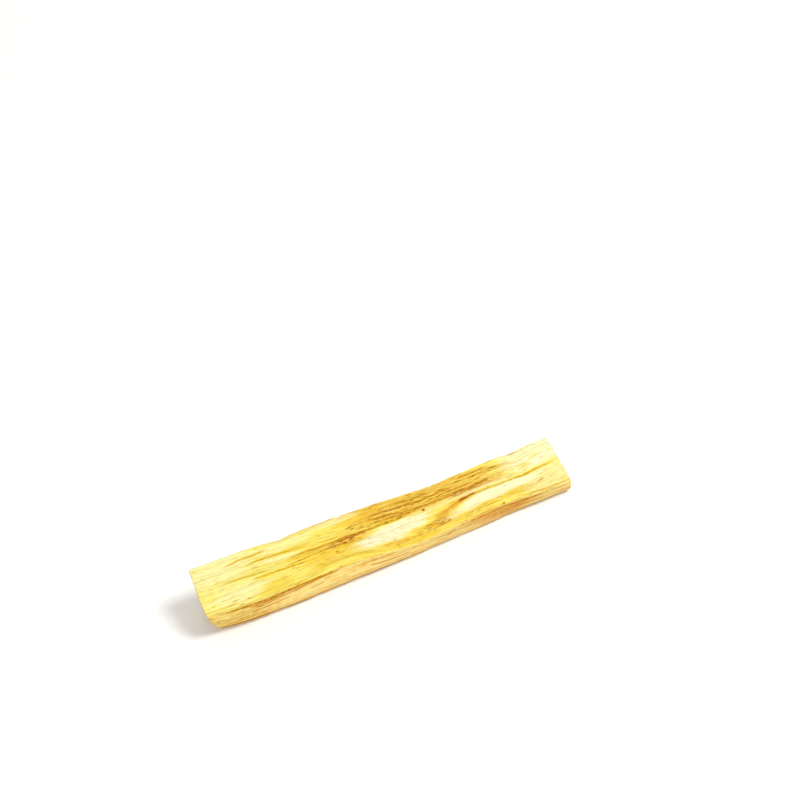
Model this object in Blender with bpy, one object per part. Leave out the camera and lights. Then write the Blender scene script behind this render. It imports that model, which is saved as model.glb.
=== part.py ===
"""A palo santo stick: one split piece of aromatic wood, lying on its flattest side.

The stick was riven along the grain and sawn across at both ends. Its long arrises wander
as split wood does. It is one solid: its section changes along X, from arris to arris, and
long ridges, troughs and torn ledges run with the grain.
"""

import math

import bmesh
import bpy
from mathutils import Vector, noise

MM = 0.001

# Driving dimensions, in millimetres. X runs along the grain, Y across it and Z up.
LEFT_END = -47.5
RIGHT_END = 52.0

# Each long arris is a smooth curve through (x, y, z) points.
BACK_TOP = [(-48, 5.4, 11.0), (-36, 5.2, 10.9), (-26, 4.8, 10.8), (-12, 5.1, 10.7), (4, 4.8, 10.4),
            (16, 4.6, 10.2), (34, 5.3, 9.9), (52, 6.5, 9.6)]
CROWN = [(-48, -0.8, 9.1), (-30, -1.5, 8.8), (-20, -1.5, 8.6), (-8, -0.8, 8.1), (4, -0.5, 7.7),
         (20, 0.0, 7.4), (36, 0.1, 7.2), (52, 0.5, 7.0)]
RIDGE = [(-48, -6.9, 6.7), (-42, -7.3, 6.4), (-32, -7.2, 6.1), (-22, -6.8, 5.8), (-14, -6.3, 5.2),
         (-2, -6.9, 4.6), (8, -6.9, 4.1), (20, -6.0, 4.2), (34, -5.5, 4.2), (52, -5.7, 4.0)]
FRONT_LOW = [(-48, -6.8, 1.6), (-41, -7.7, 1.1), (-28, -7.8, 0.9), (-12, -7.6, 1.0), (6, -7.2, 0.9),
             (16, -6.8, 1.0), (33, -6.0, 1.1), (52, -5.6, 1.2)]
BOTTOM_FRONT = [(-48, -5.2, 0), (-38, -6.5, 0), (-20, -6.7, 0), (4, -6.2, 0), (24, -5.5, 0), (52, -4.4, 0)]
BOTTOM_BACK = [(-48, 3.4, 0), (-36, 4.1, 0), (-18, 3.8, 0), (2, 4.0, 0), (22, 3.3, 0), (38, 4.1, 0),
               (52, 4.6, 0)]
BACK_LOW = [(-48, 4.9, 2.4), (-34, 5.3, 1.9), (-18, 5.2, 2.4), (0, 5.4, 2.9), (18, 4.8, 2.2),
            (36, 5.5, 2.0), (52, 6.2, 2.6)]

# The faces, in order round the section from above the back arris: the arris that each face
# starts from, how many columns it has, how far its middle stands out, and its relief.
FACES = [
    ("top_back", BACK_TOP, 12, -0.10, 1.0),
    ("top_front", CROWN, 12, 0.22, 1.0),
    ("front", RIDGE, 9, 0.10, 0.8),
    ("front_under", FRONT_LOW, 3, 0.05, 0.3),
    ("bottom", BOTTOM_FRONT, 10, 0.0, 0.0),
    ("back_under", BOTTOM_BACK, 4, 0.08, 0.3),
    ("back", BACK_LOW, 12, 0.35, 1.3),
]
ARRIS_WEAR = 0.30

# Relief that runs with the grain: (length along the grain, width across it, height, noise layer).
# A swell is soft, and a strand has a crisp crest.
SWELLS = [(46.0, 5.0, 0.30, 11.0), (19.0, 2.2, 0.13, 18.0)]
STRANDS = [(30.0, 2.3, 0.20, 40.0), (15.0, 1.3, 0.13, 49.0)]
STRAND_SLOPE = 4.0

# Ledges where a layer tore off: (length, width, height, noise layer, level where it starts).
LEDGES = [(48.0, 3.6, 0.26, 3.0, -0.04), (30.0, 2.6, 0.20, 16.0, 0.16)]
LEDGE_RISER = 0.05

# The split surface runs smoother towards the sawn ends, and beside an arris.
END_CALM = 0.5
END_CALM_LENGTH = 11.0
ARRIS_CALM = 0.55
ARRIS_CALM_COLUMNS = 3.0

# Troughs on the top face: (x start, x end, place across at each end, half width, depth).
# The place across is 0 at the ridge and 1 at the back arris.
TROUGHS = [
    (-36.0, 50.0, 0.40, 0.50, 0.60, 0.34),
    (-4.0, 44.0, 0.80, 0.76, 0.55, 0.28),
    (-40.0, -8.0, 0.74, 0.68, 0.50, 0.20),
    (8.0, 49.0, 0.17, 0.13, 0.50, 0.26),
]
TOP_WIDTH = 12.6
TROUGH_TAPER = 0.2
TROUGH_WANDER = 0.03
TROUGH_WANDER_LENGTH = 14.0

# Bites out of an arris where a splinter tore off: (arris, x centre, half length, depth).
BITES = [
    (BACK_TOP, 14.0, 5.0, 0.26),
    (BACK_TOP, -27.0, 4.0, 0.22),
    (BACK_TOP, 42.0, 3.0, 0.25),
    (RIDGE, -9.0, 7.0, 0.32),
    (RIDGE, 29.0, 5.0, 0.30),
    (BACK_LOW, -12.0, 9.0, 0.60),
    (FRONT_LOW, 36.0, 6.0, 0.30),
]
BITE_COLUMNS = 2.0

# The saw cuts. Each end leans: its x shifts with y and z, and the shift fades into the stick.
LEFT_LEAN_Y = 0.28
LEFT_LEAN_Z = -0.54
RIGHT_LEAN_Y = 0.0
RIGHT_LEAN_Z = -0.05
LEAN_FADE = 22.0
LEAN_Z0 = 6.5
SAW_ROUGHNESS = 0.22
SAW_GRAIN = 1.5
LEFT_SAW_LAYER = 21.0
RIGHT_SAW_LAYER = 33.0
END_CHAMFER = 0.35

# Rows along the stick, and rings across each sawn end.
ROWS = 56
END_RINGS = [0.93, 0.76, 0.54, 0.28]

# Edges sharper than this angle, in degrees, stay crisp in the shading.
SHARP_ANGLE = 38.0
WOOD_COLOR = (0.80, 0.58, 0.22, 1.0)
WOOD_ROUGHNESS = 0.62


def smooth_step(value):
    value = min(max(value, 0.0), 1.0)
    return value * value * (3.0 - 2.0 * value)


def on_curve(points, x):
    """(y, z) of an arris at x: a cubic through its points, with each slope taken over the two neighbours."""
    last = len(points) - 1
    x = min(max(x, points[0][0]), points[last][0])
    i = next(k for k in range(last) if x <= points[k + 1][0])
    start, end = points[i], points[i + 1]
    before, after = points[max(i - 1, 0)], points[min(i + 2, last)]
    span = end[0] - start[0]
    t = (x - start[0]) / span
    result = []
    for axis in (1, 2):
        slope_start = (end[axis] - before[axis]) / (end[0] - before[0]) * span
        slope_end = (after[axis] - start[axis]) / (after[0] - start[0]) * span
        result.append((2 * t**3 - 3 * t**2 + 1) * start[axis] + (t**3 - 2 * t**2 + t) * slope_start
                      + (3 * t**2 - 2 * t**3) * end[axis] + (t**3 - t**2) * slope_end)
    return result


def grain_noise(x, across, length, width, layer):
    """Smooth noise from about -0.7 to 0.7, drawn out along the grain."""
    return noise.noise(Vector((x / length, across / width, layer)))


def grain_relief(x, across):
    """Height of the split surface: swells, crisp strands, and ledges where a layer tore off."""
    height = 0.0
    for length, width, amount, layer in SWELLS:
        height += amount * grain_noise(x, across, length, width, layer)
    for length, width, amount, layer in STRANDS:
        crest = 1.0 - STRAND_SLOPE * abs(grain_noise(x, across, length, width, layer))
        height += amount * max(crest, -1.0)
    for length, width, amount, layer, start in LEDGES:
        level = grain_noise(x, across, length, width, layer)
        height += amount * (smooth_step((level - start) / LEDGE_RISER) - 0.5)
    nearest = min(x - LEFT_END, RIGHT_END - x)
    return height * (END_CALM + (1.0 - END_CALM) * smooth_step(nearest / END_CALM_LENGTH))


def trough_depth(x, place):
    """How deep the named troughs of the top face are at x, at a place across it."""
    depth = 0.0
    for k, (start, end, place_start, place_end, half_width, deepest) in enumerate(TROUGHS):
        along = (x - start) / (end - start)
        if not 0.0 < along < 1.0:
            continue
        middle = place_start + (place_end - place_start) * along
        middle += TROUGH_WANDER * noise.noise(Vector((x / TROUGH_WANDER_LENGTH, k + 0.5, 0.0)))
        off = (place - middle) * TOP_WIDTH / half_width
        taper = smooth_step(along / TROUGH_TAPER) * smooth_step((1.0 - along) / TROUGH_TAPER)
        depth += deepest * taper * math.exp(-off * off)
    return depth


def bite_depth(points, columns_off, x):
    """How much of an arris is missing at x, a number of columns away from it."""
    depth = 0.0
    for arris, centre, half_length, deepest in BITES:
        if arris is points:
            along = max(0.0, 1.0 - ((x - centre) / half_length) ** 2)
            depth += deepest * along * max(0.0, 1.0 - columns_off / BITE_COLUMNS)
    return depth


def calm_beside_arris(columns_off):
    """The share of the relief that is left a number of columns away from an arris."""
    return 1.0 - ARRIS_CALM * max(0.0, 1.0 - columns_off / ARRIS_CALM_COLUMNS)


def flat_section(x):
    """The section's columns at x before relief: (y, z, face index, place on that face)."""
    columns = []
    for f, (_, points, count, bulge, _) in enumerate(FACES):
        start = Vector(on_curve(points, x))
        end = Vector(on_curve(FACES[(f + 1) % len(FACES)][1], x))
        run = end - start
        outward = Vector((run.y, -run.x)).normalized()
        for k in range(count):
            v = k / count
            point = start + run * v + outward * (bulge * 4.0 * v * (1.0 - v))
            columns.append((point, f, v))
    return columns


def worn(ring):
    """The ring with each arris drawn back towards its neighbours, as handling wears it."""
    result = []
    for k, (point, f, v) in enumerate(ring):
        if v == 0.0:
            beside = (ring[k - 1][0] + ring[(k + 1) % len(ring)][0]) / 2.0
            point = point.lerp(beside, ARRIS_WEAR)
        result.append((point, f, v))
    return result


def place_on_top(f, v):
    """0 at the ridge and 1 at the back arris for the two top faces, and None elsewhere."""
    if FACES[f][0] == "top_back":
        return 1.0 - 0.5 * v
    if FACES[f][0] == "top_front":
        return 0.5 - 0.5 * v
    return None


def section(x):
    """The finished section at x as a list of (y, z)."""
    ring = worn(flat_section(x))
    count = len(ring)
    across = 0.0
    result = []
    for k, (point, f, v) in enumerate(ring):
        before, after = ring[k - 1][0], ring[(k + 1) % count][0]
        tangent = (after - before).normalized()
        outward = Vector((tangent.y, -tangent.x))
        columns = FACES[f][2]
        calm = calm_beside_arris(min(v, 1.0 - v) * columns)
        height = FACES[f][4] * calm * grain_relief(x, across)
        # The relief dies out at an arris that bounds the flat bottom.
        if FACES[f][0] in ("front_under", "back_under"):
            height *= 1.0 - v if FACES[f][0] == "front_under" else v
        place = place_on_top(f, v)
        if place is not None:
            height -= trough_depth(x, place)
        height -= bite_depth(FACES[f][1], v * columns, x)
        next_face = FACES[(f + 1) % len(FACES)]
        height -= bite_depth(next_face[1], (1.0 - v) * columns, x)
        moved = point + outward * height
        if FACES[f][0] == "bottom":
            moved = point
        result.append((moved.x, max(moved.y, 0.0)))
        across += (after - point).length
    return result


def shrunk(ring, by):
    """The ring drawn in by a distance towards its middle, for the worn edge of a sawn end."""
    middle = Vector((sum(p[0] for p in ring), sum(p[1] for p in ring))) / len(ring)
    result = []
    for y, z in ring:
        inward = middle - Vector((y, z))
        moved = Vector((y, z)) + inward.normalized() * by
        result.append((moved.x, moved.y))
    return result


def leaning_x(x, y, z):
    """x moved by the lean of the nearer saw cut."""
    left = smooth_step(1.0 - (x - LEFT_END) / LEAN_FADE)
    right = smooth_step(1.0 - (RIGHT_END - x) / LEAN_FADE)
    x += left * (LEFT_LEAN_Y * y + LEFT_LEAN_Z * (z - LEAN_Z0))
    return x + right * (RIGHT_LEAN_Y * y + RIGHT_LEAN_Z * (z - LEAN_Z0))


def sawn(y, z, layer):
    """Roughness of a saw cut across the grain, along x."""
    return SAW_ROUGHNESS * noise.noise(Vector((y / SAW_GRAIN, z / SAW_GRAIN, layer)))


def end_cap(mesh, rim, x, layer, facing):
    """Fills a sawn end with rings of rough faces. facing is -1 at the left end and 1 at the right."""
    count = len(rim)
    middle = sum((v.co for v in rim), Vector()) / count / MM
    inner = rim
    for share in END_RINGS:
        ring = []
        for vertex in rim:
            y = middle.y + (vertex.co.y / MM - middle.y) * share
            z = middle.z + (vertex.co.z / MM - middle.z) * share
            cut = leaning_x(x, y, z) + sawn(y, z, layer)
            ring.append(mesh.verts.new(Vector((cut, y, z)) * MM))
        bridge(mesh, inner, ring, facing > 0)
        inner = ring
    cut = leaning_x(x, middle.y, middle.z) + sawn(middle.y, middle.z, layer)
    centre = mesh.verts.new(Vector((cut, middle.y, middle.z)) * MM)
    for k in range(count):
        corners = (inner[k], inner[(k + 1) % count], centre)
        mesh.faces.new(corners if facing > 0 else corners[::-1])


def bridge(mesh, ring, next_ring, flip):
    """Joins two rings of equal length with quads."""
    count = len(ring)
    for k in range(count):
        corners = (ring[k], ring[(k + 1) % count], next_ring[(k + 1) % count], next_ring[k])
        mesh.faces.new(corners if flip else corners[::-1])


def stick_mesh():
    """The whole stick as one closed mesh, centred over the origin and standing on z = 0."""
    mesh = bmesh.new()
    stations = [LEFT_END + (RIGHT_END - LEFT_END) * k / ROWS for k in range(ROWS + 1)]
    stations[1:1] = [LEFT_END + END_CHAMFER]
    stations[-1:-1] = [RIGHT_END - END_CHAMFER]
    rings = []
    for x in stations:
        outline = section(x)
        if x in (LEFT_END, RIGHT_END):
            outline = shrunk(outline, END_CHAMFER * 0.5)
        rings.append([mesh.verts.new(Vector((leaning_x(x, y, z), y, z)) * MM) for y, z in outline])
    for ring, next_ring in zip(rings, rings[1:]):
        bridge(mesh, ring, next_ring, True)
    end_cap(mesh, rings[0], LEFT_END, LEFT_SAW_LAYER, -1)
    end_cap(mesh, rings[-1], RIGHT_END, RIGHT_SAW_LAYER, 1)
    bmesh.ops.recalc_face_normals(mesh, faces=mesh.faces)
    low = Vector(min(v.co[i] for v in mesh.verts) for i in range(3))
    high = Vector(max(v.co[i] for v in mesh.verts) for i in range(3))
    middle = (low + high) / 2.0
    bmesh.ops.translate(mesh, verts=mesh.verts, vec=Vector((-middle.x, -middle.y, -low.z)))
    return mesh


def wood_material():
    """Pale golden heartwood, dry and matt."""
    material = bpy.data.materials.new("palo_santo_wood")
    material.use_nodes = True
    shader = material.node_tree.nodes["Principled BSDF"]
    shader.inputs["Base Color"].default_value = WOOD_COLOR
    shader.inputs["Roughness"].default_value = WOOD_ROUGHNESS
    shader.inputs["Metallic"].default_value = 0.0
    return material


def build_stick():
    mesh = stick_mesh()
    data = bpy.data.meshes.new("palo_santo_stick")
    mesh.to_mesh(data)
    mesh.free()
    data.materials.append(wood_material())
    data.shade_smooth()
    data.set_sharp_from_angle(angle=math.radians(SHARP_ANGLE))
    stick = bpy.data.objects.new("palo_santo_stick", data)
    bpy.context.scene.collection.objects.link(stick)


def main():
    for obj in list(bpy.data.objects):
        bpy.data.objects.remove(obj)
    build_stick()


main()
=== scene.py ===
"""The looks of a palo santo stick: riven wood with grain, resin streaks, pores and sawn ends.

The stick's surface is read off the CAD solid on a fine grid whose columns follow its arrises.
Finer relief is carved into that grid, and the same named marks place the colours. Lengths are
in millimetres until a mesh is made; those of the camera, the studio and the bump are in metres.
"""

import math

import bpy
import numpy as np
from mathutils import Matrix, Vector
from mathutils.bvhtree import BVHTree
from mathutils.geometry import delaunay_2d_cdt


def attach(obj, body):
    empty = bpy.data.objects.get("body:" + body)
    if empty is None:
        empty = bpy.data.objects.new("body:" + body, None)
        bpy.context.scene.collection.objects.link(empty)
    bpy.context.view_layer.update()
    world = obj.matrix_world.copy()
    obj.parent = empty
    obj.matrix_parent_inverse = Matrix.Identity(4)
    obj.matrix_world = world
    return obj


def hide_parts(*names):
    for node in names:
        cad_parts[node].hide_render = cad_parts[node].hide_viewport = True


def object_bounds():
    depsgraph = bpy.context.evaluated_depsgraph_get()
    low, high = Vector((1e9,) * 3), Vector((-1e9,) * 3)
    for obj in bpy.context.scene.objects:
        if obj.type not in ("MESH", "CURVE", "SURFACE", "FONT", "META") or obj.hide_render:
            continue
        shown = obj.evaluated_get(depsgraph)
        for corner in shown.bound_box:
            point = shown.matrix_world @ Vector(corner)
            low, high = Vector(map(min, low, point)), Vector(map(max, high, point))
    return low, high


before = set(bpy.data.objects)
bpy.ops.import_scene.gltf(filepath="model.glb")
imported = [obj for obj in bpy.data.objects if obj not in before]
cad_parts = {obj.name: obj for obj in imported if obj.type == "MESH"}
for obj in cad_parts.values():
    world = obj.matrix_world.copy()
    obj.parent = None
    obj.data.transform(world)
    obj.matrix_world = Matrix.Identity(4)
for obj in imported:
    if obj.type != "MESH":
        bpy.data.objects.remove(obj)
CAD_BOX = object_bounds()

MM = 0.001
NODE = "palo_santo_stick"

# Camera: its direction and lens, and a point of the stick with its pixel and depth.
CAMERA_AZIMUTH = -28.92
CAMERA_ELEVATION = 40.0
CAMERA_LENS = 85.0
CAMERA_SENSOR = 36.0
CAMERA_CLIP = 0.01
FRAME_PIXELS = 800
ANCHOR_PIXEL = (380, 533)
ANCHOR_POINT = (-0.00137, 0.00046, 0.005)
ANCHOR_DEPTH = 0.462

# Studio. A softbox: its place, size, watts and colour. LIGHT_GAIN is how much brighter than its
# own colour the wood shows under them.
SOFTBOXES = {
    "key": ((0.34, -0.16, 0.56), 0.30, 3.5, (1.0, 0.985, 0.95)),
    "back": ((0.10, 0.55, 0.40), 0.50, 1.2, (1.0, 0.985, 0.96)),
    "fill": ((-0.34, -0.45, 0.34), 0.50, 1.9, (1.0, 0.985, 0.96)),
}
LIGHT_GAIN = 1.29
WORLD_COLOR = (1.0, 0.99, 0.97, 1.0)
WORLD_STRENGTH = 0.48
FLOOR_HALF = 3.0
FLOOR_COLOR = (0.84, 0.84, 0.84, 1.0)
FLOOR_ROUGHNESS = 0.8

# The grid that the solid is read on: a ray fan round the line through MIDDLE (y, z), in rows
# that lean with a sawn end as far as LEAN_FADE from it.
MIDDLE = (0.0, 4.6)
ROWS = 262
FAN = 900
LEAN_FADE = 22.0
END_INSET = 0.45
ARRIS_SMOOTHING = 5.0
SMOOTH_ALONG = 1.15
SMOOTH_ACROSS = 0.16
# A facet belongs to a sawn end if its normal lies along X and it is this near the tip.
CAP_NORMAL = 0.7
CAP_REACH = 12.0

# The arrises, each found as the corner furthest in a direction (y, z), and the face that follows
# each one counter-clockwise with its number of columns.
ARRISES = {"back_top": (0.55, 0.83), "ridge": (-0.75, 0.66), "front_low": (-0.80, -0.60),
           "back_low": (0.72, -0.69)}
FACES = {"top": 104, "front": 44, "bottom": 90, "back": 82}

# How the grain lines wander: on the top face by (x, shift as a share of its width), and at
# random on every face by this reach over this length and width.
GRAIN_SHIFT = [(-48, 0.0), (-40, 0.0), (-36, 0.02), (-30, 0.0), (-24, -0.03), (-18, -0.07),
               (-14, -0.10), (-8, -0.05), (-2, 0.0), (4, 0.02), (12, 0.02), (22, 0.0),
               (36, 0.0), (42, 0.03), (50, 0.04)]
GRAIN_WANDER = (0.24, 17.0, 5.0)

# Strand layers: length and width of a strand, its step up or down, the groove beside it.
STRAND_LAYERS = [(38.0, 1.35, 0.038, 0.045), (18.0, 0.60, 0.022, 0.032),
                 (10.0, 0.34, 0.012, 0.020)]
GROOVE_SHARE = 0.13
# Torn layers: length and width of a layer, levels, height of a level, and how ragged its edge
# is. A ragged edge has tongues of this length and width.
TORN_LAYERS = [(46.0, 3.0, 2.0, 0.11, 0.22), (26.0, 1.5, 1.6, 0.06, 0.28)]
TORN_EDGE = 0.10
TONGUE = (5.0, 0.40)
# Ribs: length, width and height, and how sharp their crests are.
RIB = (34.0, 0.40)
RIB_HEIGHT = 0.030
RIB_SHARPNESS = 2.4
FACE_RELIEF = {"top": 1.0, "front": 0.65, "bottom": 0.45, "back": 1.15}
RELIEF_BLEND = 3.0
# The underside stays this far above the plane that the stick rests on.
UNDERSIDE_SINK = 0.01
# A point is hollow or raised against what is round it: columns and rows, and the full depths. Hollows
# get painted shade and raised points a painted highlight.
CAVITY_REACH = 3.0
HOLLOW_DEPTH = 0.09
CREST_HEIGHT = 0.08

# Random drying cracks on each face: how many, ranges of length, depth and half width, how much
# they slant and wobble, their taper, and the depth at which the painted shade in one is darkest.
CRACKS = {"front": 4, "bottom": 16, "back": 20}
CRACK_LENGTH = (6.0, 26.0)
CRACK_DEPTH = (0.06, 0.20)
CRACK_HALF_WIDTH = (0.07, 0.12)
CRACK_SLANT = 0.012
CRACK_WOBBLE = (0.12, 5.0)
CRACK_TAPER = 2.0
CRACK_MARGIN = 0.5
# How dark the painted shade in a crack gets.
CRACK_SHADE = 0.75
CRACK_FULL_SHADE_DEPTH = 0.14

# Nicks along the arrises, with small chips among them.
NICK_LENGTH = 5.5
NICK_DETAIL = (0.35, 1.7)
NICK_START = 0.16
NICK_EDGE = 0.12
NICK_DEPTH = 0.17
NICK_REACH = 0.50
CHIP_LENGTH = 0.9
CHIP_WIDTH = 0.3
CHIP_START = 0.10
CHIP_EDGE = 0.3
CHIP_DEPTH = 0.10
CHIP_REACH = 0.22

# Sawn ends. The rim and the shoulder are rings just inside the last row: how far one is drawn
# in, its distance below the cut, its share of the roughness, and its share of the end's colour.
RIM = (0.17, 0.02, 1.0, 1.0)
SHOULDER = (0.05, 0.16, 0.6, 0.45)
RIM_DEEPEST = 0.26
# Crumbs of the cut as (weight, length, width) of each layer, its saw marks and its torn holes.
CRUMB_LAYERS = [(1.0, 0.62, 0.62), (0.7, 0.30, 0.30)]
CUT_SWELL = 2.6
SAW_MARK = (3.5, 0.22)
CUT_DEPTH = 0.10
SWELL_DEPTH = 0.05
CRUMB_DEPTH = 0.05
SAW_MARK_DEPTH = 0.03
HOLE_DEPTH = 0.30
HOLE_SWELL = 0.45
HOLE_START = 0.16
HOLE_EDGE = 0.50
# Points of the cut: their spacing, their clearance from the rim, and how deep one may lie at
# the rim and with each millimetre from it.
CAP_SPACING = 0.165
CAP_JITTER = 0.3
CAP_CLEARANCE = 0.10
CAP_EDGE_DEPTH = (0.20, 0.70)
CAP_RESIN = 0.5

# Loose fibres: how many, their range of length and their width. ARRIS_PICKS are the numbers of
# the arrises to pick from, the top two twice, and ARRIS_SPREAD is the columns beside one.
LOOSE_FIBRES = {"arris": (110, (0.9, 4.5), 0.16), "face": (50, (0.7, 2.6), 0.11),
                "rim": (70, (0.9, 1.7), 0.13)}
ARRIS_PICKS = [0, 1, 1, 2, 3, 0]
ARRIS_SPREAD = (-3, 4)
RIM_ROWS = (1, 4)
FIBRE_END_ROWS = 8
FIBRE_WIDTHS = (0.5, 1.2)
FIBRE_ROOT = (0.05, 0.3)
FIBRE_LIFT = (0.03, 0.16)
FIBRE_CURL = 0.3
FIBRE_TAPER = 0.6
FIBRE_TIP = 0.004
FIBRE_KEEL = 0.7
FIBRE_STEPS = 6
# How much painted highlight lightens the loose fibres.
FIBRE_HIGHLIGHT = 0.8
BOX_CLEARANCE = 0.002

# What the split faces show, at (x, place): place is 0 at the ridge and 1 at the back arris on
# the top face, and 0 at the ridge and 1 at the lower arris on the front face.
# A dark line: its points, half width, darkness and the depth of its groove.
TOP_LINES = [
    ([(-44.5, 0.81), (-38, 0.85), (-32, 0.85), (-30, 0.89), (-27.5, 0.95)], 0.16, 0.78, 0.11),
    ([(-40.5, 0.60), (-37.5, 0.69), (-35, 0.72), (-29.5, 0.73), (-26, 0.71), (-22, 0.66)],
     0.15, 0.80, 0.11),
    ([(-47, 0.51), (-41, 0.49), (-38, 0.46), (-34, 0.445), (-29, 0.43)], 0.16, 0.76, 0.10),
    ([(-48, 0.57), (-43, 0.56), (-38, 0.53)], 0.12, 0.50, 0.06),
    ([(-40, 0.37), (-31, 0.37), (-26, 0.35), (-23, 0.32), (-18, 0.305)], 0.19, 0.84, 0.12),
    ([(-30, 0.41), (-25, 0.39), (-20, 0.375), (-15, 0.365), (-9, 0.38)], 0.18, 0.76, 0.08),
    ([(-29, 0.545), (-22, 0.53), (-18, 0.49), (-15, 0.465), (-11, 0.48)], 0.18, 0.86, 0.12),
    ([(-19, 0.50), (-15, 0.465), (-12, 0.475), (-8, 0.50), (-4, 0.54), (0, 0.56), (5, 0.58),
      (11, 0.59)], 0.23, 1.05, 0.18),
    ([(-16, 0.42), (-12, 0.43), (-9, 0.455), (-5, 0.50)], 0.22, 0.95, 0.08),
    ([(-19, 0.665), (-13, 0.66), (-7, 0.67)], 0.14, 0.35, 0.05),
    ([(-7, 0.69), (0, 0.70), (4, 0.685), (8, 0.66), (14, 0.645), (21, 0.635), (32, 0.64)],
     0.22, 1.00, 0.14),
    ([(-6, 0.64), (2, 0.64), (9, 0.61), (14, 0.60)], 0.18, 0.90, 0.08),
    ([(-7, 0.77), (2, 0.785), (9, 0.78), (16, 0.80), (24, 0.79)], 0.18, 0.95, 0.12),
    ([(9, 0.72), (17, 0.735), (24, 0.72), (30, 0.74)], 0.18, 0.90, 0.08),
    ([(-2, 0.87), (9, 0.86), (18, 0.87)], 0.18, 0.85, 0.08),
    ([(19, 0.91), (26, 0.905), (34, 0.92)], 0.18, 0.95, 0.10),
    ([(14, 0.56), (21, 0.575), (30, 0.57), (37, 0.575)], 0.14, 0.45, 0.05),
    ([(20, 0.60), (25, 0.595), (31, 0.61)], 0.15, 0.75, 0.05),
    ([(19.5, 0.48), (22, 0.455), (25, 0.47), (28, 0.46), (36, 0.455), (38.5, 0.485), (42, 0.50),
      (45, 0.485), (51, 0.50)], 0.22, 0.90, 0.18),
    ([(9.5, 0.25), (13, 0.265), (16.5, 0.255)], 0.16, 0.60, 0.05),
    ([(10.5, 0.295), (14, 0.315), (18, 0.33)], 0.16, 0.62, 0.05),
    ([(13.5, 0.35), (16.5, 0.375), (20, 0.385)], 0.16, 0.60, 0.05),
    ([(16, 0.41), (19, 0.435), (23.5, 0.44)], 0.18, 0.70, 0.06),
    ([(3, 0.165), (9, 0.18), (14, 0.21), (17, 0.20)], 0.18, 0.62, 0.06),
    ([(10, 0.13), (15, 0.15), (19, 0.12)], 0.16, 0.55, 0.05),
    ([(18, 0.12), (24, 0.11), (30, 0.10), (36, 0.13)], 0.18, 0.55, 0.06),
    ([(33, 0.72), (38, 0.74), (43, 0.73)], 0.13, 0.35, 0.06),
    ([(33, 0.03), (44, 0.03), (54, 0.04)], 0.12, 0.85, 0.08),
    ([(6, 0.035), (14, 0.04), (21, 0.02)], 0.11, 0.45, 0.05),
    ([(-49, 0.20), (-43, 0.19), (-38, 0.21)], 0.12, 0.32, 0.05),
]
FRONT_LINES = [
    ([(-50, 0.07), (-41, 0.12), (-36, 0.19), (-32, 0.17), (-26, 0.17), (-20, 0.23), (-14, 0.31)],
     0.24, 1.00, 0.12),
    ([(-42, 0.20), (-38, 0.27), (-34, 0.25), (-29, 0.22)], 0.20, 0.90, 0.06),
    ([(-50, 0.56), (-43, 0.50), (-38, 0.52), (-33, 0.50), (-27, 0.53)], 0.15, 0.70, 0.08),
    ([(-49, 0.86), (-42, 0.78), (-38, 0.76), (-32, 0.78)], 0.16, 0.75, 0.08),
    ([(-48, 0.36), (-38, 0.38), (-33, 0.35), (-27, 0.37)], 0.15, 0.62, 0.06),
    ([(-47, 0.69), (-41, 0.65), (-36, 0.67), (-31, 0.65)], 0.13, 0.50, 0.05),
    ([(-24, 0.62), (-16, 0.58), (-8, 0.60)], 0.14, 0.35, 0.05),
    ([(-30, 0.80), (-22, 0.78), (-12, 0.82)], 0.12, 0.30, 0.04),
    ([(-16, 0.38), (-11, 0.41), (-6, 0.36), (-3, 0.25), (0, 0.16), (4, 0.10)], 0.17, 0.60, 0.08),
    ([(14, 0.16), (25, 0.20), (31, 0.17), (36, 0.16), (46, 0.14)], 0.26, 0.95, 0.10),
    ([(23, 0.38), (31, 0.33), (37, 0.25), (42, 0.28)], 0.22, 0.85, 0.07),
    ([(25, 0.57), (34, 0.50), (41, 0.54), (48, 0.50)], 0.17, 0.65, 0.05),
    ([(27, 0.76), (33, 0.72), (40, 0.77)], 0.16, 0.60, 0.05),
    ([(8, 0.55), (16, 0.50), (23, 0.56)], 0.14, 0.35, 0.05),
    ([(4, 0.78), (13, 0.74), (22, 0.80)], 0.12, 0.30, 0.04),
]
# How a line is drawn: the steps over which its kinks are rounded, its wobbles and its beads as
# (reach, length, seed), its taper, and the resinous halo beside it.
LINE_ROUNDING = (-1.6, -0.8, 0.0, 0.8, 1.6)
LINE_WOBBLES = [(0.010, 4.0, 31), (0.005, 1.1, 32)]
LINE_BEADS = [(0.45, 0.85, 33), (0.20, 3.0, 34)]
LINE_STRENGTH = 0.80
LINE_TAPER = 7.0
LINE_TAPER_SHARE = 0.35
LINE_WIDTHS = (0.75, 0.35)
HALO_WIDTH = 2.7
TOP_HALO_RESIN = 0.90
FRONT_HALO_RESIN = 0.45

# A patch of one tone: x, place, half length, half width as a share of the face, tilt, strength.
# Its edge is feathered by layers (weight, length, width).
PALE_PATCHES = [
    (1.4, 0.345, 10.4, 0.168, 0.012, 1.00), (30.0, 0.315, 13.5, 0.120, 0.005, 0.92),
    (46.5, 0.78, 10.5, 0.26, 0.0, 0.85), (47.5, 0.62, 6.0, 0.09, 0.0, 0.60),
    (24.0, 0.545, 15.0, 0.045, 0.0, 0.45), (-13.0, 0.94, 7.0, 0.10, 0.0, 0.40),
    (-44.0, 0.78, 9.0, 0.28, 0.0, 0.40), (-41.0, 0.22, 7.0, 0.16, 0.0, 0.45),
    (-29.0, 0.62, 5.0, 0.06, -0.01, 0.40), (-26.0, 0.85, 9.0, 0.10, 0.0, 0.35),
    (45.0, 0.24, 8.0, 0.24, 0.0, 0.34),
]
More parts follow.
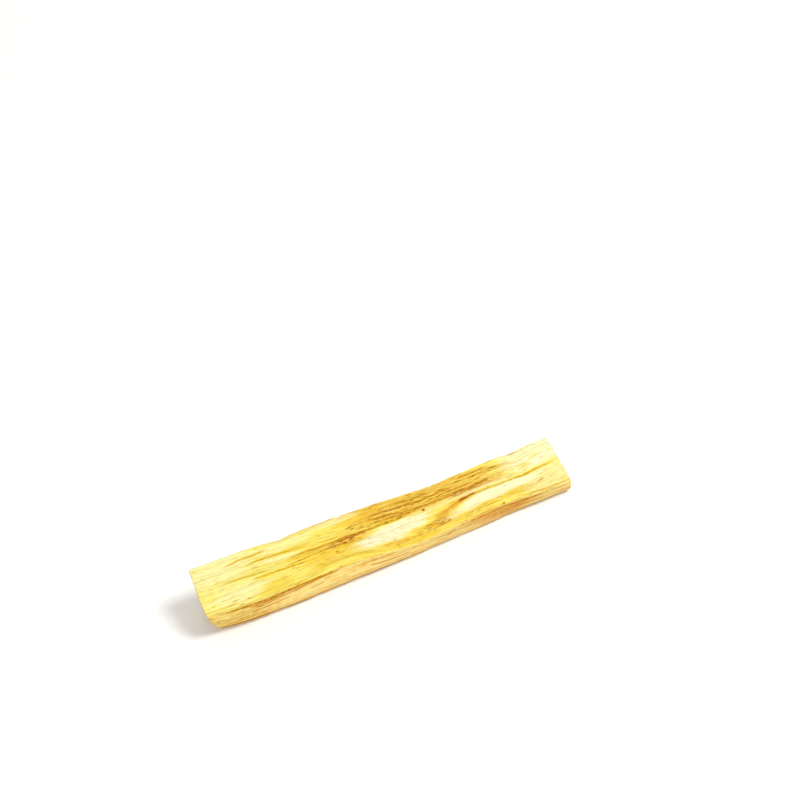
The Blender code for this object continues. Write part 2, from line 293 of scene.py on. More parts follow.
# Golden spots show through the pale patches.
GOLDEN_SPOTS = [
    (40.7, 0.66, 1.8, 0.060, 0.0, 0.66), (44.3, 0.75, 1.5, 0.030, 0.0, 0.55),
    (37.5, 0.60, 1.6, 0.030, 0.0, 0.45),
]
RESIN_PATCHES = [
    (-32.5, 0.08, 5.0, 0.13, 0.0, 0.26), (-15.0, 0.24, 9.0, 0.30, 0.0, 0.26),
    (-15.0, 0.05, 4.5, 0.09, 0.0, 0.40), (-23.5, 0.68, 3.5, 0.06, -0.01, 0.45),
    (-17.0, 0.45, 11.0, 0.12, -0.004, 0.36), (-5.0, 0.85, 6.0, 0.22, 0.0, 0.30),
    (7.0, 0.115, 10.0, 0.09, 0.003, 0.45), (13.5, 0.20, 4.5, 0.10, 0.0, 0.40),
    (16.5, 0.36, 7.0, 0.10, 0.026, 0.44), (23.0, 0.105, 8.0, 0.07, 0.0, 0.50),
    (36.0, 0.17, 6.0, 0.085, 0.004, 0.28), (21.0, 0.43, 3.5, 0.07, 0.0, 0.40),
]
OCHRE_PATCHES = [
    (13.0, 0.80, 20.0, 0.24, 0.0, 0.55), (0.0, 0.66, 9.0, 0.10, 0.0, 0.26),
    (25.0, 0.64, 9.0, 0.10, 0.0, 0.75), (-10.0, 0.44, 6.0, 0.075, 0.010, 0.55),
    (13.5, 0.19, 4.0, 0.07, 0.0, 0.55), (21.5, 0.455, 4.0, 0.055, 0.003, 0.80),
    (16.0, 0.34, 6.5, 0.075, 0.026, 0.72), (3.0, 0.09, 7.0, 0.06, 0.0, 0.35),
    (-17.5, 0.455, 4.5, 0.055, 0.0, 0.30), (45.0, 0.16, 9.0, 0.20, 0.0, 0.22),
    (11.0, 0.95, 14.0, 0.10, 0.0, 0.80),
]
# Zones thick with dark pores, in the same form.
PORE_ZONES = [
    (-11.0, 0.42, 5.5, 0.09, 0.01, 1.0), (-1.0, 0.655, 8.0, 0.07, 0.0, 0.85),
    (26.0, 0.63, 7.0, 0.07, 0.0, 1.25), (13.5, 0.19, 5.0, 0.09, 0.0, 0.9),
    (12.0, 0.82, 21.0, 0.18, 0.0, 0.70), (23.0, 0.10, 7.0, 0.06, 0.0, 0.6),
    (38.0, 0.66, 9.0, 0.18, 0.0, 0.20), (-16.0, 0.12, 4.0, 0.12, 0.0, 0.3),
    (-42.0, 0.10, 6.0, 0.08, 0.0, 0.4), (46.0, 0.25, 6.0, 0.20, 0.0, 0.10),
    (-24.0, 0.34, 6.0, 0.05, 0.0, 0.3), (5.0, 0.12, 9.0, 0.08, 0.002, 0.6),
]
PATCH_FEATHER = [(0.34, 9.0, 0.42), (0.20, 4.0, 1.3)]
PATCH_REACH = 1.30
PATCH_EDGE = 0.62

# Single dark spots: x, place, half length, half width and strength. Their rims are ragged by
# this reach, length and width, and each one darkens the wood and is a shallow pit.
TOP_SPOTS = [
    (21.8, 0.46, 1.4, 0.46, 1.2), (24.0, 0.47, 1.6, 0.30, 1.0), (10.7, 0.575, 0.42, 0.26, 0.9),
    (31.0, 0.02, 0.35, 0.22, 0.9), (-14.4, 0.24, 0.38, 0.28, 0.6), (-11.8, 0.365, 0.9, 0.22, 0.8),
    (-9.6, 0.43, 0.7, 0.22, 0.8), (-13.2, 0.455, 0.9, 0.20, 0.7), (-17.5, 0.16, 0.8, 0.18, 0.5),
    (-7.6, 0.39, 0.5, 0.18, 0.5), (24.5, 0.615, 1.1, 0.20, 0.6), (27.2, 0.64, 0.5, 0.22, 0.7),
    (28.4, 0.645, 0.45, 0.22, 0.7), (15.8, 0.17, 0.6, 0.22, 0.6), (-10.8, 0.465, 0.5, 0.20, 0.9),
    (-12.4, 0.42, 0.45, 0.20, 0.8), (-9.0, 0.475, 0.4, 0.18, 0.8), (-14.6, 0.44, 0.6, 0.18, 0.7),
    (-10.2, 0.395, 0.5, 0.18, 0.7), (-6.6, 0.50, 0.6, 0.16, 0.6), (25.8, 0.60, 0.4, 0.20, 0.6),
    (26.6, 0.665, 0.4, 0.18, 0.6), (29.6, 0.62, 0.4, 0.18, 0.5),
]
SPOT_RAGGED = (0.5, 0.8, 0.25)
SPOT_REACH = 1.25
SPOT_EDGE = 0.6
SPOT_DARK = 1.25
SPOT_PIT = 0.06

# How golden the top face is along its length, where no patch says otherwise.
TOP_RESIN = [(-50, 0.12), (-36, 0.20), (-24, 0.30), (-14, 0.40), (0, 0.42), (14, 0.42),
             (28, 0.36), (38, 0.22), (51, 0.16)]
RESIN_MOST = 0.62
SPOT_RESIN = 0.70

# Where the yellow of the top face runs over the ridge: (x, share of the front face).
RIDGE_SPILL = [(-50, 0.0), (-38, 0.05), (-30, 0.12), (-20, 0.18), (-12, 0.26), (-6, 0.20),
               (-2, 0.08), (4, 0.01), (51, 0.02)]
SPILL_WOBBLE = (0.03, 5.0)
SPILL_EDGE = 0.07
# The front face is golden left of an x, and warm from one x to another: (x, fade). It is brown
# round a point: (x, half length, place, half width). The warm stretch and the brown zone are
# partly the wood's own pinkish brown and partly painted shade. Its lower edge is darkened by a
# painted contact shadow.
GOLDEN_END = (33.0, 8.0)
WARM_FROM = (16.0, 12.0)
WARM_TO = (33.0, 8.0)
BROWN_AND_SHADE_ZONE = (31.0, 8.0, 0.40, 0.40)
FRONT_DRIFT = (15.0, 1.4)
CONTACT_SHADOW_EDGE = (0.84, 0.14)
CONTACT_SHADOW_BREAKS = (0.75, 0.6, 7.0)
# Broad, narrow, pink and thin streaks of the hidden faces: the length and width of each.
HIDDEN_STREAKS = [(24.0, 3.0), (16.0, 1.1), (30.0, 4.0), (20.0, 0.42)]


# Noise that repeats from run to run

GRADIENTS = np.random.default_rng(5).normal(size=(256, 3))
GRADIENTS /= np.linalg.norm(GRADIENTS, axis=1)[:, None]
NOISE_GAIN = 1.6


def hashed(i, j, k, seed):
    """A repeatable whole number from 0 to 65535 for each cell of a lattice."""
    mixed = (i * 73856093) ^ (j * 19349663) ^ (k * 83492791) ^ (seed * 29423 + 977)
    mixed = mixed & 0xFFFFFFFF
    mixed = ((mixed ^ (mixed >> 15)) * 2246822519) & 0xFFFFFFFF
    mixed = ((mixed ^ (mixed >> 13)) * 3266489917) & 0xFFFFFFFF
    return (mixed ^ (mixed >> 16)) & 0xFFFF


def random_share(i, j, k, seed):
    """A repeatable number from 0 to 1 for each cell of a lattice."""
    return hashed(i, j, k, seed) / 65535.0


def smooth_noise(x, y, z, seed):
    """Gradient noise from about -1 to 1 at arrays of points."""
    points = np.stack(np.broadcast_arrays(x, y, z), axis=-1)
    base = np.floor(points).astype(np.int64)
    frac = points - base
    fade = frac ** 3 * (frac * (frac * 6 - 15) + 10)
    total = np.zeros(points.shape[:-1])
    for corner in range(8):
        step = np.array([corner >> 2 & 1, corner >> 1 & 1, corner & 1])
        cell = base + step
        gradient = GRADIENTS[hashed(cell[..., 0], cell[..., 1], cell[..., 2], seed) & 255]
        weight = np.prod(np.where(step == 1, fade, 1 - fade), axis=-1)
        total += weight * ((frac - step) * gradient).sum(-1)
    return total * NOISE_GAIN


def streaks(x, across, length, width, seed, layer=0):
    """Noise drawn out along the grain."""
    return smooth_noise(x / length, across / width, layer + 0.5, seed)


def wobble(x, length, lane, seed):
    """Noise along one line; each lane has its own."""
    return streaks(x, lane, length, 1.0, seed)


def layered(x, across, layers, seed):
    """A sum of streaks: (weight, length, width) of each layer."""
    return sum(weight * streaks(x, across, length, width, seed, k)
               for k, (weight, length, width) in enumerate(layers))


def strand_cells(along, across, length, width, around, seed):
    """Long thin cells with pointed ends, like strands torn along the grain.

    Returns a height from -1 to 1 for each point's own cell, and its distance from the border as
    a share of a cell. The cells close up round the stick, whose girth is around."""
    count = max(int(round(around / width)), 3)
    u = along / length
    v = across / around * count
    cell_u = np.floor(u).astype(np.int64)
    cell_v = np.floor(v).astype(np.int64)
    nearest = np.full(u.shape, np.inf)
    second = np.full(u.shape, np.inf)
    height = np.zeros(u.shape)
    for du in (-1, 0, 1):
        for dv in (-1, 0, 1):
            iu, iv = cell_u + du, cell_v + dv
            ring = iv % count
            off_u = u - iu - random_share(iu, ring, 0, seed)
            off_v = v - iv - random_share(iu, ring, 1, seed)
            distance = np.hypot(off_u, off_v)
            closer = distance < nearest
            second = np.where(closer, nearest, np.minimum(second, distance))
            height = np.where(closer, random_share(iu, ring, 2, seed), height)
            nearest = np.where(closer, distance, nearest)
    return height * 2 - 1, second - nearest


def smooth_step(value):
    value = np.clip(value, 0.0, 1.0)
    return value * value * (3.0 - 2.0 * value)


def rise(value, start, run):
    """0 up to start, then smoothly to 1 over run."""
    return smooth_step((value - start) / run)


def tapered(x, start, end, run):
    """1 between start and end, falling smoothly to 0 over run at each."""
    return smooth_step((x - start) / run) * smooth_step((end - x) / run)


def bell(distance, half_width):
    return np.exp(-(distance / half_width) ** 2)


# Reading the solid

def cad_surface():
    """The centres and normals of the CAD node's faces, in millimetres, and a ray-casting tree."""
    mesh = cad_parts[NODE].data
    points = np.zeros(len(mesh.vertices) * 3)
    mesh.vertices.foreach_get("co", points)
    points = points.reshape(-1, 3) / MM
    faces = [list(p.vertices) for p in mesh.polygons]
    normals = np.array([p.normal for p in mesh.polygons])
    centres = np.array([points[f].mean(0) for f in faces])
    return centres, normals, BVHTree.FromPolygons([Vector(p) for p in points], faces)


def end_plane(centres, normals, side):
    """(a, b, c) of the plane x = a + b y + c z through a sawn end; y and z are from MIDDLE."""
    out = centres[:, 0] * side
    chosen = centres[(normals[:, 0] * side > CAP_NORMAL) & (out > out.max() - CAP_REACH)]
    terms = np.column_stack([np.ones(len(chosen)), chosen[:, 1:] - MIDDLE])
    return np.linalg.lstsq(terms, chosen[:, 0], rcond=None)[0]


class Grid:
    """The rows that the solid is read on, and how they lean with the sawn ends."""

    def __init__(self):
        centres, normals, self.tree = cad_surface()
        self.left = end_plane(centres, normals, -1)
        self.right = end_plane(centres, normals, 1)
        self.stations = np.linspace(self.left[0] + END_INSET, self.right[0] - END_INSET, ROWS)
        self.spacing = self.stations[1] - self.stations[0]

    def plane(self, side):
        """x of a sawn end at MIDDLE."""
        return self.left[0] if side < 0 else self.right[0]

    def slopes(self, station):
        """How much x changes with y and with z across the row at a station."""
        left = smooth_step(1 - (station - self.left[0]) / LEAN_FADE)
        right = smooth_step(1 - (self.right[0] - station) / LEAN_FADE)
        return [left * a + right * b for a, b in zip(self.left[1:], self.right[1:])]

    def placed(self, station, y, z):
        """Points (x, y, z) of the leaning row at a station."""
        along_y, along_z = self.slopes(station)
        x = station + along_y * (y - MIDDLE[0]) + along_z * (z - MIDDLE[1])
        return np.stack([x, y, z], axis=-1)


def fan_row(grid, station, angles):
    """(y, z) where a fan of rays in the leaning row leaves the solid."""
    along_y, along_z = grid.slopes(station)
    origin = Vector((station, *MIDDLE))
    row = np.zeros((len(angles), 2))
    for k, angle in enumerate(angles):
        c, s = math.cos(angle), math.sin(angle)
        ray = Vector((along_y * c + along_z * s, c, s)).normalized()
        row[k] = grid.tree.ray_cast(origin, ray)[0].yz
    return row


def smoothing_kernel(sigma):
    """(reach, weights) of a bell that is sigma wide."""
    reach = int(3 * sigma) + 1
    kernel = np.exp(-0.5 * (np.arange(-reach, reach + 1) / sigma) ** 2)
    return reach, kernel / kernel.sum()


def smooth_along(values, sigma):
    """Smooths an array down its rows; sigma is in rows. The ends keep their slope."""
    reach, kernel = smoothing_kernel(sigma)
    padding = [(reach, reach)] + [(0, 0)] * (values.ndim - 1)
    padded = np.pad(values, padding, mode="reflect", reflect_type="odd")
    return sum(k * padded[i:i + len(values)] for i, k in enumerate(kernel))


def smooth_round(values, sigma):
    """Smooths an array round its columns, which close up; sigma is in columns."""
    reach, kernel = smoothing_kernel(sigma)
    return sum(k * np.roll(values, i - reach, axis=1) for i, k in enumerate(kernel))


def arris_angles(grid, rows, angles):
    """The angle of each arris at each row, smoothed along the stick."""
    result = []
    for direction in ARRISES.values():
        corner = angles[(rows @ np.array(direction)).argmax(axis=1)]
        result.append(smooth_along(np.unwrap(corner), ARRIS_SMOOTHING / grid.spacing))
    for k in range(1, len(result)):
        while result[k].mean() < result[k - 1].mean():
            result[k] = result[k] + 2 * math.pi
    return result


def even_columns(row, start, end, count):
    """count points spaced evenly round a row from one angle to another, without the last."""
    place = np.linspace(start, end, 4 * count) / (2 * math.pi) * FAN
    lower = np.floor(place).astype(int)
    share = (place - lower)[:, None]
    path = row[lower % FAN] * (1 - share) + row[(lower + 1) % FAN] * share
    run = np.r_[0, np.cumsum(np.hypot(*np.diff(path, axis=0).T))]
    wanted = np.linspace(0, run[-1], count, endpoint=False)
    return np.column_stack([np.interp(wanted, run, path[:, 0]), np.interp(wanted, run, path[:, 1])])


def read_grid(grid):
    """The base surface: (y, z) by row and column, smoothed between the solid's facets."""
    angles = np.linspace(0, 2 * math.pi, FAN, endpoint=False)
    rows = np.array([fan_row(grid, station, angles) for station in grid.stations])
    corners = arris_angles(grid, rows, angles)
    corners.append(corners[0] + 2 * math.pi)
    flat = [np.concatenate([even_columns(row, corners[f][s], corners[f + 1][s], count)
                            for f, count in enumerate(FACES.values())])
            for s, row in enumerate(rows)]
    flat = smooth_along(np.array(flat), SMOOTH_ALONG / grid.spacing)
    girth = np.linalg.norm(flat - np.roll(flat, -1, axis=1), axis=-1).sum(1).mean()
    return smooth_round(flat, SMOOTH_ACROSS / (girth / flat.shape[1]))


class Skin:
    """The stick's sides: base points, outward normals, and where each point is on the stick."""

    def __init__(self, grid):
        self.flat = read_grid(grid)
        self.points = np.array([grid.placed(station, row[:, 0], row[:, 1])
                                for station, row in zip(grid.stations, self.flat)])
        down = np.gradient(self.points, axis=0)
        round_ = np.roll(self.points, -1, axis=1) - np.roll(self.points, 1, axis=1)
        normal = np.cross(round_, down)
        self.normal = normal / np.linalg.norm(normal, axis=-1)[..., None]
        gaps = np.linalg.norm(np.roll(self.flat, -1, axis=1) - self.flat, axis=-1).mean(0)
        self.around = gaps.sum()
        self.column_across = np.r_[0, np.cumsum(gaps)[:-1]]
        self.face = np.repeat(list(FACES), list(FACES.values()))
        self.share = np.concatenate([np.arange(count) / count for count in FACES.values()])
        self.first_column = [int(np.flatnonzero(self.on(name))[0]) for name in FACES]
        self.face_width = {name: gaps[self.on(name)].sum() for name in FACES}
        self.x = self.points[..., 0]
        self.across = self.column_across + self.drift()

    def on(self, name):
        """A mask of the columns on a face."""
        return self.face == name

    def drift(self):
        """How far the grain lines wander from the columns, in millimetres."""
        middle_weight = 4 * self.share * (1 - self.share)
        named = np.interp(self.x, *zip(*GRAIN_SHIFT)) * self.face_width["top"] * self.on("top")
        reach, length, width = GRAIN_WANDER
        return (named + reach * streaks(self.x, self.column_across, length, width, 3)) * middle_weight

    def wood(self):
        """Each point's place in the wood as it grew, with the grain pulled straight."""
        section = self.flat.mean(0)
        across = np.r_[self.column_across, self.around]
        y = np.interp(self.across, across, np.r_[section[:, 0], section[0, 0]])
        z = np.interp(self.across, across, np.r_[section[:, 1], section[0, 1]])
        return np.stack([self.x, y, z], axis=-1)


# Marks on the faces

def line_mark(x, place, width, points, half_width, lane):
    """(line, halo): how strongly a named line and the resin beside it show."""
    xs, places = zip(*points)
    middle = np.mean([np.interp(x + step, xs, places) for step in LINE_ROUNDING], axis=0)
    for reach, length, seed in LINE_WOBBLES:
        middle = middle + reach * wobble(x, length, lane, seed)
    strength = LINE_STRENGTH
    for reach, length, seed in LINE_BEADS:
        strength = strength + reach * wobble(x, length, lane, seed)
    taper = tapered(x, xs[0], xs[-1], min(LINE_TAPER, LINE_TAPER_SHARE * (xs[-1] - xs[0])))
    away = (place - middle) * width
    narrowest, widening = LINE_WIDTHS
    line = bell(away, half_width * (narrowest + widening * taper)) * taper * strength
    return line, bell(away, HALO_WIDTH * half_width) * taper


def patch_mark(x, place, across, patches, seed):
    """How strongly the patches of one tone show: their edges are drawn out along the grain."""
    feather = layered(x, across, PATCH_FEATHER, seed)
    total = np.zeros(x.shape)
    for x0, place0, half_length, half_width, tilt, strength in patches:
        away = np.hypot((x - x0) / half_length, (place - place0 - tilt * (x - x0)) / half_width)
        shown = smooth_step((PATCH_REACH - away - feather) / PATCH_EDGE)
        total = np.maximum(total, strength * shown)
    return total


def spot_mark(x, place, width, spots):
    """How strongly the single dark spots show: small, with ragged ends."""
    reach, ragged_length, ragged_width = SPOT_RAGGED
    ragged = 1 + reach * streaks(x, place * width, ragged_length, ragged_width, 55)
    total = np.zeros(x.shape)
    for x0, place0, half_length, half_width, strength in spots:
        away = ragged * np.hypot((x - x0) / half_length, (place - place0) * width / half_width)
        total = np.maximum(total, strength * smooth_step((SPOT_REACH - away) / SPOT_EDGE))
    return total


def raise_to(values, columns, least):
    """Raises the values of some columns to at least these."""
    values[:, columns] = np.maximum(values[:, columns], least)


def random_cracks(grid, skin):
    """How strongly painted shade darkens the random drying cracks, and how deep they are."""
    generator = np.random.default_rng(41)
    crack_shade = np.zeros(skin.x.shape)
    depth = np.zeros(skin.x.shape)
    reach, wobble_length = CRACK_WOBBLE
    for name, count in CRACKS.items():
        columns = skin.on(name)
        x, lines = skin.x[:, columns], skin.across[:, columns]
        first, last = lines.mean(0)[0] + CRACK_MARGIN, lines.mean(0)[-1] - CRACK_MARGIN
        for _ in range(count):
            length = generator.uniform(*CRACK_LENGTH)
            start = generator.uniform(grid.plane(-1) - 2 * CRACK_TAPER, grid.plane(1) - CRACK_TAPER)
            place = generator.uniform(first, last)
            deepest = generator.uniform(*CRACK_DEPTH)
            half_width = generator.uniform(*CRACK_HALF_WIDTH)
            slant = generator.uniform(-CRACK_SLANT, CRACK_SLANT)
            line = place + slant * (x - start) + reach * wobble(x, wobble_length, place, 42)
            taper = tapered(x, start, start + length, CRACK_TAPER)
            shape = bell(lines - line, half_width) * taper
            raise_to(crack_shade, columns, shape * min(1.0, deepest / CRACK_FULL_SHADE_DEPTH))
            raise_to(depth, columns, shape * deepest)
    return crack_shade, depth


class Marks:
    """Every tone of the sides at every point, as shares from 0 to 1, and the grooves' depth."""

    def __init__(self, grid, skin):
        self.skin = skin
        self.dark, self.groove = random_cracks(grid, skin)
        # The cracks are darkened with painted shade, the deeper the darker.
        self.dark *= CRACK_SHADE
        for tone in ("pale", "resin", "ochre", "peach", "pores"):
            setattr(self, tone, np.zeros(skin.x.shape))
        self.paint_top()
        self.paint_front()
        for name, seed in (("bottom", 71), ("back", 75)):
            self.paint_hidden(name, seed)

    def draw_lines(self, name, place, lines, first_lane, resin):
        """Draws named lines on a face, with resin beside them."""
        columns = self.skin.on(name)
        x, width = self.skin.x[:, columns], self.skin.face_width[name]
        for k, (points, half_width, darkness, carve) in enumerate(lines):
            line, halo = line_mark(x, place, width, points, half_width, first_lane + k)
            raise_to(self.dark, columns, darkness * line)
            raise_to(self.groove, columns, carve * line)
            raise_to(self.resin, columns, resin * darkness * halo)

    def paint_top(self):
        """The top face, with its named lines, patches and spots."""
        top = self.skin.on("top")
        x, across = self.skin.x[:, top], self.skin.across[:, top]
        place = np.broadcast_to(1.0 - self.skin.share[top], x.shape)

        def patches(table, seed):
            return patch_mark(x, place, across, table, seed)

        resin = np.interp(x, *zip(*TOP_RESIN)) + patches(RESIN_PATCHES, 51)
        self.resin[:, top] = np.minimum(resin, RESIN_MOST)
        self.draw_lines("top", place, TOP_LINES, 0.0, TOP_HALO_RESIN)
        self.ochre[:, top] = patches(OCHRE_PATCHES, 52)
        golden = patches(GOLDEN_SPOTS, 56)
        raise_to(self.resin, top, SPOT_RESIN * golden)
        self.pale[:, top] = patches(PALE_PATCHES, 53) * (1 - golden)
        self.pores[:, top] = patches(PORE_ZONES, 54)
        spots = spot_mark(x, place, self.skin.face_width["top"], TOP_SPOTS)
        raise_to(self.dark, top, SPOT_DARK * spots)
        raise_to(self.groove, top, SPOT_PIT * spots)

    def paint_front(self):
        """The front face: peach, with the yellow of the top face spilling over the ridge, partly painted
        shade where it is browner, and a painted contact shadow along its lower edge.
        """
        front = self.skin.on("front")
        x = self.skin.x[:, front]
        share = np.broadcast_to(self.skin.share[front], x.shape)
        reach, length = SPILL_WOBBLE
        spill = np.interp(x, *zip(*RIDGE_SPILL)) + reach * wobble(x, length, 0.5, 61)
        peach = smooth_step((share - spill) / SPILL_EDGE + 0.5)
        golden = rise(-x, *GOLDEN_END)
        warm = rise(x, *WARM_FROM) * (1 - 0.8 * rise(x, *WARM_TO))
        drift = streaks(x, self.skin.across[:, front], *FRONT_DRIFT, 62)
        # The browner stretch and zone: partly the wood's own pinkish brown, partly painted shade.
        brown_x, brown_length, brown_place, brown_width = BROWN_AND_SHADE_ZONE
        brown_and_shade = bell(x - brown_x, brown_length) * bell(share - brown_place, brown_width)
        warmth_and_shade = 0.05 + 0.40 * warm + 0.60 * brown_and_shade + 0.30 * drift
        self.peach[:, front] = peach * (0.95 - 0.30 * golden)
        self.ochre[:, front] = peach * np.clip(warmth_and_shade, 0, 1)
        self.resin[:, front] = 0.45 + 0.05 * golden + 0.15 * drift
        self.draw_lines("front", share, FRONT_LINES, 40.0, FRONT_HALO_RESIN)
        self.pores[:, front] = 0.15 + 0.25 * golden
        # A painted contact shadow along the lower edge, broken up along its length.
        least, reach, length = CONTACT_SHADOW_BREAKS
        shadow_breaks = least + reach * wobble(x, length, 0.5, 63)
        raise_to(self.dark, front, rise(share, *CONTACT_SHADOW_EDGE) * shadow_breaks)

    def paint_hidden(self, name, seed):
        """The underside or the back, which no photo shows: the same wood, in its duller tones."""
        columns = self.skin.on(name)
        x, across = self.skin.x[:, columns], self.skin.across[:, columns]
        broad, narrow, pink, thin = (streaks(x, across, *size, seed + k)
                                     for k, size in enumerate(HIDDEN_STREAKS))
        self.resin[:, columns] = np.clip(0.48 + 0.45 * broad + 0.25 * narrow, 0, 1)
        self.ochre[:, columns] = 0.12 + 0.70 * rise(0.9 * narrow + 0.7 * broad, 0.05, 0.6)
        self.pale[:, columns] = 0.40 * rise(-broad - 0.6 * narrow, 0.18, 0.4)
        self.peach[:, columns] = np.clip(0.80 + 0.35 * pink, 0, 1)
        self.pores[:, columns] = 0.25 + 0.5 * rise(narrow, 0.1, 0.5)
        raise_to(self.dark, columns, 0.6 * rise(thin, 0.42, 0.25))


# Relief of the sides

def torn_layers(along, across):
    """Steps where layers of the wood tore off, with ragged edges drawn out along the grain."""
    height = np.zeros(along.shape)
    for k, (length, width, levels, step, ragged) in enumerate(TORN_LAYERS):
        level = levels * streaks(along, across, length, width, 81 + k)
        level = level + ragged * streaks(along, across, *TONGUE, 84 + k)
        whole = np.floor(level)
        height += step * (whole + smooth_step((level - whole - 1 + TORN_EDGE) / TORN_EDGE))
    return height


def arris_nicks(skin):
    """How much is chipped off beside the arrises."""
    depth = np.zeros(skin.x.shape)
    half, (detail, detail_length) = skin.around / 2, NICK_DETAIL
    for k, column in enumerate(skin.first_column):
        away = np.abs((skin.column_across - skin.column_across[column] + half) % skin.around - half)
        nick = wobble(skin.x, NICK_LENGTH, 3.0 * k + 0.5, 91)
        nick = rise(nick + detail * wobble(skin.x, detail_length, k, 92), NICK_START, NICK_EDGE)
        chip = smooth_noise(skin.x / CHIP_LENGTH, k + 0.5, away / CHIP_WIDTH, 93)
        chip = rise(chip, CHIP_START, CHIP_EDGE)
        taken = NICK_DEPTH * nick * bell(away, NICK_REACH) + CHIP_DEPTH * chip * bell(away, CHIP_REACH)
        depth = np.maximum(depth, taken)
    return depth


def relief(skin, marks):
    """Height of every point above its base point, in millimetres."""
    height = torn_layers(skin.x, skin.across)
    for k, (length, width, step, groove) in enumerate(STRAND_LAYERS):
        cell, border = strand_cells(skin.x, skin.across, length, width, skin.around, 101 + k)
        height += step * cell - groove * bell(border, GROOVE_SHARE)
    rib = 1 - RIB_SHARPNESS * np.abs(streaks(skin.x, skin.across, *RIB, 111))
    height += RIB_HEIGHT * rib
    strength = np.array([[FACE_RELIEF[name] for name in skin.face]])
    height = (height - height.mean()) * smooth_round(strength, RELIEF_BLEND)
    return height - marks.groove


def painted_shade_and_highlight(height):
    """(hollow, crest): how far each point lies below and above what is round it, from 0 to 1; these are
    the masks of painted shade in hollows and of a painted highlight on crests.
    """
    around = smooth_along(smooth_round(height, CAVITY_REACH), CAVITY_REACH)
    hollow = np.clip((around - height) / HOLLOW_DEPTH, 0, 1)
    return hollow, np.clip((height - around) / CREST_HEIGHT, 0, 1)


def inside_the_box(points):
    """Keeps points inside the CAD model's box."""
    low, high = (np.array(corner) / MM for corner in CAD_BOX)
    return np.clip(points, low + BOX_CLEARANCE, high - BOX_CLEARANCE)


def carve(skin, marks):
    """Carves the relief into the sides, and notes how hollow or raised each point is, for painted shade
    and a painted highlight.
    """
    height = relief(skin, marks)
    marks.hollow, marks.crest = painted_shade_and_highlight(height)
    height = height - arris_nicks(skin)
    bottom = skin.on("bottom")
    height[:, bottom] = np.minimum(height[:, bottom] - UNDERSIDE_SINK, 0.0)
    skin.carved = inside_the_box(skin.points + skin.normal * height[..., None])


# The sawn ends

def sawn_depth(y, z, side):
    """How far a rough saw cut lies below its plane, and how deep in a torn hole each point is."""
    seed = 120 + side
    crumb = layered(y, z, CRUMB_LAYERS, seed)
    swell = streaks(y, z, CUT_SWELL, CUT_SWELL, seed, 2)
    hole = rise(crumb + HOLE_SWELL * swell, HOLE_START, HOLE_EDGE)
    depth = CUT_DEPTH + SWELL_DEPTH * swell + CRUMB_DEPTH * crumb
    depth = depth + SAW_MARK_DEPTH * streaks(y, z, *SAW_MARK, seed, 3) + HOLE_DEPTH * hole
    return np.maximum(depth, 0.0), hole


def end_ring(grid, skin, side, ring):
    """A ring near a sawn end, drawn in from the last row towards its middle."""
    shrink, inset, torn, _ = ring
    row = 0 if side < 0 else ROWS - 1
    base = skin.flat[row] - MIDDLE
    radius = np.linalg.norm(skin.carved[row, :, 1:] - MIDDLE, axis=1) - shrink
    y, z = (MIDDLE + base / np.linalg.norm(base, axis=1)[:, None] * radius[:, None]).T
    depth = torn * np.minimum(sawn_depth(y, z, side)[0], RIM_DEEPEST)
    return grid.placed(grid.plane(side) - side * (inset + depth), y, z)


def nearest_distance(points, outline):
    """Distance of each point from the nearest corner of an outline."""
    return np.min([np.hypot(*(points - corner).T) for corner in outline], axis=0)


def inside_outline(points, outline):
    """Which points lie inside a closed outline: an odd number of its edges lie to their right."""
    inside = np.zeros(len(points), bool)
    for (y0, z0), (y1, z1) in zip(outline, np.roll(outline, -1, axis=0)):
        spans = (z0 > points[:, 1]) != (z1 > points[:, 1])
        slope = (y1 - y0) / (z1 - z0) if z1 != z0 else 0.0
        inside ^= spans & (points[:, 0] < y0 + slope * (points[:, 1] - z0))
    return inside


def cap_interior(grid, rim, side):
    """Points over a sawn end inside its rim, and the triangles that join them to the rim."""
    generator = np.random.default_rng(130 + side)
    outline = rim[:, 1:]
    low, high = outline.min(0), outline.max(0)
    ys, zs = (np.arange(low[k], high[k], CAP_SPACING) for k in (0, 1))
    points = np.stack(np.meshgrid(ys, zs), axis=-1).reshape(-1, 2)
    points += generator.uniform(-CAP_JITTER, CAP_JITTER, points.shape) * CAP_SPACING
    clear = nearest_distance(points, outline) > CAP_CLEARANCE
    points = points[inside_outline(points, outline) & clear]
    count = len(outline)
    edges = [(k, (k + 1) % count) for k in range(count)]
    found = delaunay_2d_cdt([Vector(p) for p in np.concatenate([outline, points])], edges, [], 1, 1e-7)
    source = [ids[0] for ids in found[3]]
    triangles = [[source[v] for v in face] for face in found[2]]
    depth, pit = sawn_depth(points[:, 0], points[:, 1], side)
    edge_depth, slope = CAP_EDGE_DEPTH
    depth = np.minimum(depth, edge_depth + slope * nearest_distance(points, outline))
    return grid.placed(grid.plane(side) - side * depth, points[:, 0], points[:, 1]), pit, triangles


# The meshes

# Of these, the hollow tone is painted shade in hollows and the crest tone a painted highlight on raised
# points and loose fibres.
TONES = ("resin", "ochre", "pale", "peach", "dark", "pores", "hollow", "crest", "end", "pit")
STRONGEST_TONE = 1.5


def linked(name, data):
    """A new object, in the scene."""
    made = bpy.data.objects.new(name, data)
    bpy.context.scene.collection.objects.link(made)
    return made


